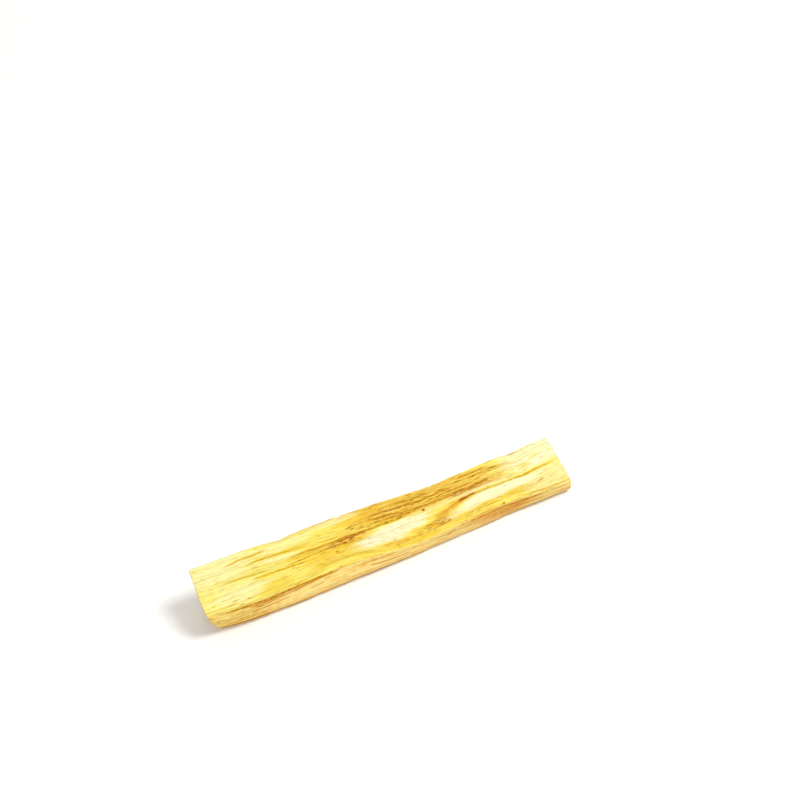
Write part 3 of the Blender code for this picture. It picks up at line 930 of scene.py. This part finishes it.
class Piece:
    """Points, faces and tones gathered for one mesh object."""

    def __init__(self, name):
        self.name = name
        self.count = 0
        self.points, self.wood, self.faces = [], [], []
        self.tones = {tone: [] for tone in TONES}

    def add(self, points, wood, faces, **tones):
        """Adds points with their places in the wood and tones, and faces by number of point."""
        self.points.append(points)
        self.wood.append(wood)
        self.faces += faces
        self.count += len(points)
        for tone, parts in self.tones.items():
            parts.append(np.broadcast_to(tones.get(tone, 0.0), len(points)))

    def finished(self):
        """The object, in metres, with its places in the wood and its tones as attributes."""
        mesh = bpy.data.meshes.new(self.name)
        mesh.from_pydata((np.concatenate(self.points) * MM).tolist(), [], self.faces)
        mesh.validate()
        mesh.shade_smooth()
        wood = np.concatenate(self.wood).astype(np.float32)
        place = mesh.attributes.new("wood", "FLOAT_VECTOR", "POINT")
        place.data.foreach_set("vector", wood.reshape(-1))
        for tone, parts in self.tones.items():
            value = np.clip(np.concatenate(parts), 0, STRONGEST_TONE).astype(np.float32)
            mesh.attributes.new(tone, "FLOAT", "POINT").data.foreach_set("value", value)
        return linked(self.name, mesh)


def with_end_rows(rows):
    """Rows of the sides, with the first and the last repeated for the rings of the ends."""
    return np.concatenate([rows[[0, 0]], rows, rows[[-1, -1]]])


def side_faces(rows, count):
    """Quads that join each row of count points to the next, all the way round."""
    quads = []
    for first in range(0, (rows - 1) * count, count):
        for c in range(count):
            here, after = first + c, first + (c + 1) % count
            quads.append((after, after + count, here + count, here))
    return quads


def build_stick(grid, skin, marks):
    """The stick: its carved sides, the rings that turn into the sawn ends, and the ends."""
    carve(skin, marks)
    left = [end_ring(grid, skin, -1, ring) for ring in (RIM, SHOULDER)]
    right = [end_ring(grid, skin, 1, ring) for ring in (SHOULDER, RIM)]
    rings = inside_the_box(np.array([*left, *skin.carved, *right]))
    rows, count = rings.shape[:2]
    tones = {name: with_end_rows(getattr(marks, name)).reshape(-1) for name in TONES[:-2]}
    end = np.zeros((rows, count))
    end[[0, -1]] = RIM[-1]
    end[[1, -2]] = SHOULDER[-1]
    stick = Piece("palo_santo_wood")
    stick.add(rings.reshape(-1, 3), with_end_rows(skin.wood()).reshape(-1, 3),
              side_faces(rows, count), end=end.reshape(-1), **tones)
    for side, row in ((-1, 0), (1, rows - 1)):
        inner, pit, triangles = cap_interior(grid, rings[row], side)
        inner = inside_the_box(inner)
        at_rim, at_inner = row * count, stick.count - count
        faces = [[v + (at_rim if v < count else at_inner) for v in triangle[::side]]
                 for triangle in triangles]
        # The pit tone paints shade into the torn holes of each cut.
        stick.add(inner, inner, faces, end=1.0, pit=pit, resin=CAP_RESIN)
    return stick.finished()


def fibre_shape(root, along, lift, length, width, generator):
    """Points and faces of a tapered fibre that springs from root along the grain and lifts off."""
    aside = np.cross(along, lift)
    curl = generator.uniform(-FIBRE_CURL, FIBRE_CURL)
    first_lift, more_lift = FIBRE_LIFT
    points, faces = [], []
    for k in range(FIBRE_STEPS + 1):
        t = k / FIBRE_STEPS
        rising = lift * length * (first_lift + more_lift * t * t)
        middle = root + along * length * t + rising + aside * length * curl * t * t
        size = width * (1 - t) ** FIBRE_TAPER * 0.5 + FIBRE_TIP
        points += [middle + aside * size, middle - aside * size, middle + lift * size * FIBRE_KEEL]
    for k in range(0, 3 * FIBRE_STEPS, 3):
        for a, b in ((0, 1), (1, 2), (2, 0)):
            faces.append((k + a, k + b, k + 3 + b, k + 3 + a))
    last = 3 * FIBRE_STEPS
    return np.array(points), faces + [(last, last + 1, last + 2), (2, 1, 0)]


def fibre_roots(skin, generator):
    """(row, column, direction along the grain, length, width) of each loose fibre."""
    columns = skin.flat.shape[1]
    for kind, (number, lengths, width) in LOOSE_FIBRES.items():
        for _ in range(number):
            if kind == "rim":
                way = generator.choice([-1, 1])
                row = generator.integers(*RIM_ROWS)
                row = row if way < 0 else ROWS - 1 - row
                column = generator.integers(0, columns)
            else:
                column = generator.integers(0, columns) if kind == "face" else (
                    skin.first_column[generator.choice(ARRIS_PICKS)] + generator.integers(*ARRIS_SPREAD))
                row = generator.integers(FIBRE_END_ROWS, ROWS - FIBRE_END_ROWS)
                way = generator.choice([-1, 1])
            yield row, column % columns, way, generator.uniform(*lengths), width


def build_fibres(skin, marks):
    """Loose fibres along the arrises, on the faces and at the sawn rims, as one mesh.

    None springs from the underside, and one that would leave the CAD model's box is left out."""
    generator = np.random.default_rng(201)
    wood = skin.wood()
    sunk, back = FIBRE_ROOT
    fibres = Piece("loose_fibres")
    for row, column, way, length, width in fibre_roots(skin, generator):
        if skin.on("bottom")[column]:
            continue
        along = skin.points[min(row + 1, ROWS - 1), column] - skin.points[max(row - 1, 0), column]
        along = along / np.linalg.norm(along) * way
        lift = skin.normal[row, column]
        root = skin.carved[row, column] - lift * sunk - along * back
        width *= generator.uniform(*FIBRE_WIDTHS)
        points, faces = fibre_shape(root, along, lift, length, width, generator)
        if not np.allclose(points, inside_the_box(points)):
            continue
        faces = [[fibres.count + v for v in face] for face in faces]
        fibres.add(points, wood[row, column] + points - root, faces,
                   resin=marks.resin[row, column], crest=FIBRE_HIGHLIGHT)
    return fibres.finished()


# Material

def albedo(red, green, blue):
    """A colour as it shows under the studio light, out of 255, as the wood's own linear colour."""
    linear = [((c / 255 + 0.055) / 1.055) ** 2.4 for c in (red, green, blue)]
    return (*[c / LIGHT_GAIN for c in linear], 1.0)


# Bare wood from pale to resinous, and the tones laid over it.
RESIN_STOPS = [(0.0, albedo(253, 247, 150)), (0.33, albedo(252, 235, 106)),
               (0.66, albedo(249, 212, 58)), (1.0, albedo(224, 164, 36))]
AMBER = RESIN_STOPS[-1][1]
CREAM = albedo(255, 254, 224)
OCHRE = albedo(230, 170, 40)
PEACH = albedo(255, 222, 138)
TAN = albedo(222, 156, 74)
# A painted highlight for raised points and loose fibres, and painted shade multiplied into hollows.
CREST_HIGHLIGHT_PALE = albedo(255, 246, 176)
HOLLOW_SHADE_TINT = (0.86, 0.72, 0.42, 1.0)
# Lines, hairs and pores: a saturated mid tone round a dark core.
LINE_GOLD = albedo(222, 184, 34)
LINE_TAN = albedo(214, 152, 40)
GRAIN_DARK = albedo(150, 90, 2)
PORE_DARK = albedo(112, 58, 2)
# Sawn ends, with growth rings round an axis (x, y, z) outside the stick.
END_TAN = albedo(246, 192, 94)
END_PALE = albedo(255, 230, 150)
# Painted shade in the holes of the sawn ends.
END_PIT_SHADE = albedo(122, 68, 18)
RING_AXIS = (0.0, 5.0, -16.0)
RING_SPACING = 1.7

# Patterns in the grain: length along it, width across it, detail and roughness of the noise.
FIBRE = (9.0, 0.12, 3.0, 0.6)
STRAND = (20.0, 0.50, 2.0, 0.55)
MOTTLE = (1.7, 0.75, 3.0, 0.6)
HAIR = (24.0, 0.15, 1.0, 0.55)
SCRATCH = (1.6, 0.22, 2.0, 0.55)
SPECK = (3.0, 0.26, 4.0, 0.75)
FLECK = (2.6, 0.28, 1.5, 0.55)
# Pores: length and width of a pore's cell, and the pore's size as a share of it.
FINE_PORES = (3.0, 0.14, 0.32)
COARSE_PORES = (2.2, 0.27, 0.34)
END_HOLES = (5.0, 0.24, 0.32)
END_HOLE_SHARE = 0.75
PORE_RIM = 0.45

# How much each pattern spreads the resin tone and shades the wood.
RESIN_SPREAD = {"strand": 0.70, "fibre": 0.60, "mottle": 0.36}
SHADE_SPREAD = {"fibre": 0.44, "scratch": 0.22, "mottle": 0.24}

SPECULAR = 0.14
BUMP_STRENGTH = 0.9
BUMP_DISTANCE = 0.00006


class Nodes:
    """Adds nodes to a material. Every method but node and vector returns one output."""

    def __init__(self, tree):
        self.tree = tree
        self.place = self.node("ShaderNodeAttribute", attribute_name="wood").outputs["Vector"]

    def node(self, kind, inputs=(), **settings):
        """A new node with its settings and inputs: (socket, value or another node's output)."""
        made = self.tree.nodes.new(kind)
        for key, value in settings.items():
            setattr(made, key, value)
        for socket, value in inputs:
            if isinstance(value, bpy.types.NodeSocket):
                self.tree.links.new(value, made.inputs[socket])
            else:
                made.inputs[socket].default_value = value
        return made

    def vector(self, operation, *inputs):
        return self.node("ShaderNodeVectorMath", enumerate(inputs), operation=operation).outputs

    def math(self, operation, *inputs, clamp=False):
        settings = {"operation": operation, "use_clamp": clamp}
        return self.node("ShaderNodeMath", enumerate(inputs), **settings).outputs[0]

    def times(self, a, b):
        return self.math("MULTIPLY", a, b)

    def plus(self, a, b):
        return self.math("ADD", a, b)

    def scaled(self, value, factor, offset):
        return self.math("MULTIPLY_ADD", value, factor, offset)

    def tone(self, name):
        """A tone of the mesh."""
        return self.node("ShaderNodeAttribute", attribute_name=name).outputs["Fac"]

    def stretched(self, length, width):
        """Coordinates for a pattern that is length long along the grain and width across it."""
        return self.vector("MULTIPLY", self.place, (1 / length, 1 / width, 1 / width))[0]

    def noise(self, length, width, detail, roughness):
        """Noise from 0 to 1, drawn out along the grain."""
        inputs = {"Vector": self.stretched(length, width), "Scale": 1.0, "Detail": detail,
                  "Roughness": roughness}
        return self.node("ShaderNodeTexNoise", inputs.items()).outputs[0]

    def remap(self, value, low, high, to_low=0.0, to_high=1.0):
        """A smooth step of value from low to high."""
        inputs = enumerate((value, low, high, to_low, to_high))
        return self.node("ShaderNodeMapRange", inputs, interpolation_type="SMOOTHSTEP").outputs[0]

    def mixed(self, factor, a, b, blend="MIX"):
        """Colour a with colour b over it."""
        inputs = [(0, factor), (6, a), (7, b)]
        return self.node("ShaderNodeMix", inputs, data_type="RGBA", blend_type=blend).outputs[2]

    def pores(self, density, length, width, size):
        """Short pores along the grain; density is the share of the cells that have one."""
        inputs = [("Vector", self.stretched(length, width)), ("Scale", 1.0)]
        cells = self.node("ShaderNodeTexVoronoi", inputs).outputs
        pick = self.node("ShaderNodeSeparateColor", [("Color", cells["Color"])]).outputs[0]
        there = self.math("LESS_THAN", pick, density)
        return self.times(there, self.remap(cells["Distance"], size, size * PORE_RIM))


class Wood(Nodes):
    """The patterns that the colour, the roughness and the bump share, and those three."""

    def __init__(self, tree):
        super().__init__(tree)
        self.fibre = self.noise(*FIBRE)
        self.strand = self.noise(*STRAND)
        self.mottle = self.noise(*MOTTLE)
        self.scratch = self.noise(*SCRATCH)
        self.speck = self.noise(*SPECK)
        self.hair = self.remap(self.noise(*HAIR), 0.60, 0.72)
        self.end = self.tone("end")
        thick = self.tone("pores")
        flecks = self.scaled(thick, 0.155, self.noise(*FLECK))
        flecks = self.scaled(self.tone("pale"), -0.06, flecks)
        self.stain = self.remap(flecks, 0.585, 0.725)
        self.fleck = self.remap(flecks, 0.69, 0.77)
        clusters = self.remap(self.strand, 0.38, 0.66, 0.05, 0.55)
        self.fine = self.pores(self.plus(thick, clusters), *FINE_PORES)
        self.coarse = self.pores(self.scaled(thick, 0.62, -0.10), *COARSE_PORES)
        self.holes = self.pores(END_HOLE_SHARE, *END_HOLES)

    def side_color(self):
        """Colour of the riven sides: bare wood, its tones, its lines and pores, and its shading."""
        return self.shaded(self.with_pores(self.with_lines(self.toned())))

    def toned(self):
        """Pale to resinous wood with the peach, ochre and pale tones over it, a painted highlight on
        crests and painted shade in hollows.
        """
        resin, peach, ochre = (self.tone(name) for name in ("resin", "peach", "ochre"))
        for name, spread in RESIN_SPREAD.items():
            resin = self.plus(resin, self.scaled(getattr(self, name), spread, -spread / 2))
        color = self.resin_ramp(self.math("ADD", resin, 0.0, clamp=True))
        color = self.mixed(peach, color, PEACH)
        ochre_here = self.times(ochre, self.remap(self.strand, 0.25, 0.6, 0.6, 1.0))
        color = self.mixed(ochre_here, color, self.mixed(peach, OCHRE, TAN))
        pale_here = self.times(self.tone("pale"), self.remap(self.fibre, 0.2, 0.6, 1.0, 0.75))
        color = self.mixed(pale_here, color, CREAM)
        # A painted highlight on crests and loose fibres, then painted shade in hollows.
        crest_highlight_here = self.times(self.tone("crest"), self.scaled(ochre, -0.32, 0.45))
        color = self.mixed(crest_highlight_here, color, CREST_HIGHLIGHT_PALE)
        return self.mixed(self.times(self.tone("hollow"), 0.75), color, HOLLOW_SHADE_TINT, "MULTIPLY")

    def resin_ramp(self, value):
        """Colour of the bare wood."""
        ramp = self.node("ShaderNodeValToRGB", [(0, value)])
        elements = ramp.color_ramp.elements
        while len(elements) < len(RESIN_STOPS):
            elements.new(0.5)
        for element, (place, color) in zip(elements, RESIN_STOPS):
            element.position = place
            element.color = color
        return ramp.outputs[0]

    def with_lines(self, color):
        """The dark lines: golden or, on warm wood, tan at their edges, and dark at their cores."""
        dark = self.times(self.tone("dark"), self.remap(self.fibre, 0.3, 0.62, 0.7, 1.1))
        warm = self.math("MAXIMUM", self.tone("peach"), self.tone("ochre"))
        edge = self.mixed(self.remap(warm, 0.0, 0.6), LINE_GOLD, LINE_TAN)
        color = self.mixed(self.remap(dark, 0.05, 0.55), color, edge)
        return self.mixed(self.remap(dark, 0.50, 1.05, 0.0, 0.95), color, GRAIN_DARK)

    def with_pores(self, color):
        """Hairs, flecks and pores: each shows its mid tone first and its dark core over it."""
        stain = self.math("MAXIMUM", self.times(self.stain, 0.50), self.times(self.fine, 0.45))
        hair_core = self.times(self.hair, self.scaled(self.tone("peach"), 0.20, 0.11))
        for share, tint in (
                (self.times(self.hair, 0.55), LINE_GOLD), (hair_core, GRAIN_DARK), (stain, AMBER),
                (self.times(self.fine, 0.18), GRAIN_DARK), (self.times(self.fleck, 0.60), GRAIN_DARK),
                (self.times(self.coarse, 0.80), PORE_DARK)):
            color = self.mixed(share, color, tint)
        return color

    def shaded(self, color):
        """The colour, darker and lighter with the fibres and the mottling."""
        shade = 1.0
        for name, spread in SHADE_SPREAD.items():
            shade = self.plus(self.scaled(getattr(self, name), spread, -spread / 2), shade)
        return self.vector("MULTIPLY", color, shade)[0]

    def end_color(self):
        """Colour of the sawn ends: tan crumbs with pale tips, faint growth rings, and painted shade in
        their holes.
        """
        color = self.mixed(self.remap(self.speck, 0.40, 0.62), END_TAN, END_PALE)
        from_axis = self.vector("SUBTRACT", self.place, RING_AXIS)[0]
        radius = self.vector("LENGTH", self.vector("MULTIPLY", from_axis, (0.0, 1.0, 1.0))[0])["Value"]
        radius = self.scaled(self.speck, 0.35, radius)
        ring = self.math("SINE", self.times(radius, 2 * math.pi / RING_SPACING))
        color = self.mixed(self.remap(ring, 0.1, 1.0, 0.0, 0.35), color, OCHRE)
        # Painted shade in the small holes and in the torn pits.
        color = self.mixed(self.times(self.holes, 0.60), color, END_PIT_SHADE)
        return self.mixed(self.times(self.tone("pit"), 0.80), color, END_PIT_SHADE)

    def color(self):
        return self.mixed(self.end, self.side_color(), self.end_color())

    def roughness(self):
        """Dull wood, a little smoother where it is resinous and rougher at the sawn ends."""
        rough = self.plus(self.scaled(self.fibre, 0.28, 0.46), self.times(self.tone("resin"), -0.06))
        return self.plus(rough, self.times(self.end, 0.16))

    def bump(self):
        """Fibres with the pores and hairs cut into them, and crumbs and holes at the ends."""
        cuts = self.fine
        for cut in (self.coarse, self.hair, self.fleck):
            cuts = self.math("MAXIMUM", cuts, cut)
        height = self.scaled(cuts, -0.6, self.fibre)
        height = self.plus(height, self.times(self.times(self.speck, self.end), 2.4))
        height = self.plus(height, self.times(self.times(self.holes, self.end), -1.5))
        inputs = {"Strength": BUMP_STRENGTH, "Distance": BUMP_DISTANCE, "Height": height}
        return self.node("ShaderNodeBump", inputs.items()).outputs[0]


def wood_material():
    material = bpy.data.materials.new("riven_palo_santo")
    material.use_nodes = True
    tree = material.node_tree
    shader = tree.nodes["Principled BSDF"]
    wood = Wood(tree)
    outputs = {"Base Color": wood.color(), "Roughness": wood.roughness(), "Normal": wood.bump()}
    for socket, output in outputs.items():
        tree.links.new(output, shader.inputs[socket])
    shader.inputs["Specular IOR Level"].default_value = SPECULAR
    return material


# Camera, floor and light

def place_camera():
    """The camera, so placed that ANCHOR_POINT shows at ANCHOR_PIXEL."""
    azimuth, elevation = math.radians(CAMERA_AZIMUTH), math.radians(CAMERA_ELEVATION)
    level = Vector((-math.sin(azimuth), math.cos(azimuth), 0.0))
    forward = level * math.cos(elevation) - Vector((0.0, 0.0, math.sin(elevation)))
    right = Vector((math.cos(azimuth), math.sin(azimuth), 0.0))
    up = right.cross(forward)
    pixel = CAMERA_SENSOR / CAMERA_LENS / FRAME_PIXELS
    across, down = ((at - FRAME_PIXELS / 2) * pixel for at in ANCHOR_PIXEL)
    data = bpy.data.cameras.new("camera")
    data.lens = CAMERA_LENS
    data.sensor_width = CAMERA_SENSOR
    data.clip_start = CAMERA_CLIP
    camera = linked("camera", data)
    place = Vector(ANCHOR_POINT) - (forward + across * right - down * up) * ANCHOR_DEPTH
    turn = Matrix((right, up, -forward)).transposed().to_4x4()
    camera.matrix_world = Matrix.Translation(place) @ turn
    bpy.context.scene.camera = camera


def add_floor():
    mesh = bpy.data.meshes.new("floor")
    corners = [(-1, -1), (1, -1), (1, 1), (-1, 1)]
    mesh.from_pydata([(x * FLOOR_HALF, y * FLOOR_HALF, 0) for x, y in corners], [], [(0, 1, 2, 3)])
    floor = linked("floor", mesh)
    material = bpy.data.materials.new("floor_white")
    material.use_nodes = True
    shader = material.node_tree.nodes["Principled BSDF"]
    shader.inputs["Base Color"].default_value = FLOOR_COLOR
    shader.inputs["Roughness"].default_value = FLOOR_ROUGHNESS
    mesh.materials.append(material)


def add_softbox(name, place, size, watts, color):
    """A square area light that faces the stick."""
    data = bpy.data.lights.new(name, "AREA")
    data.shape = "SQUARE"
    data.size = size
    data.energy = watts
    data.color = color
    light = linked(name, data)
    light.location = place
    light.rotation_mode = "QUATERNION"
    light.rotation_quaternion = Vector(place).to_track_quat("Z", "Y")


def add_light():
    world = bpy.data.worlds.new("studio")
    world.use_nodes = True
    background = world.node_tree.nodes["Background"]
    background.inputs["Color"].default_value = WORLD_COLOR
    background.inputs["Strength"].default_value = WORLD_STRENGTH
    bpy.context.scene.world = world
    for name, softbox in SOFTBOXES.items():
        add_softbox(name, *softbox)
    bpy.context.scene.view_settings.view_transform = "Standard"


place_camera()
add_floor()
add_light()
grid = Grid()
skin = Skin(grid)
marks = Marks(grid, skin)
stick = build_stick(grid, skin, marks)
fibres = build_fibres(skin, marks)
material = wood_material()
for piece in (stick, fibres):
    piece.data.materials.append(material)
    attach(piece, "root")
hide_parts(NODE)
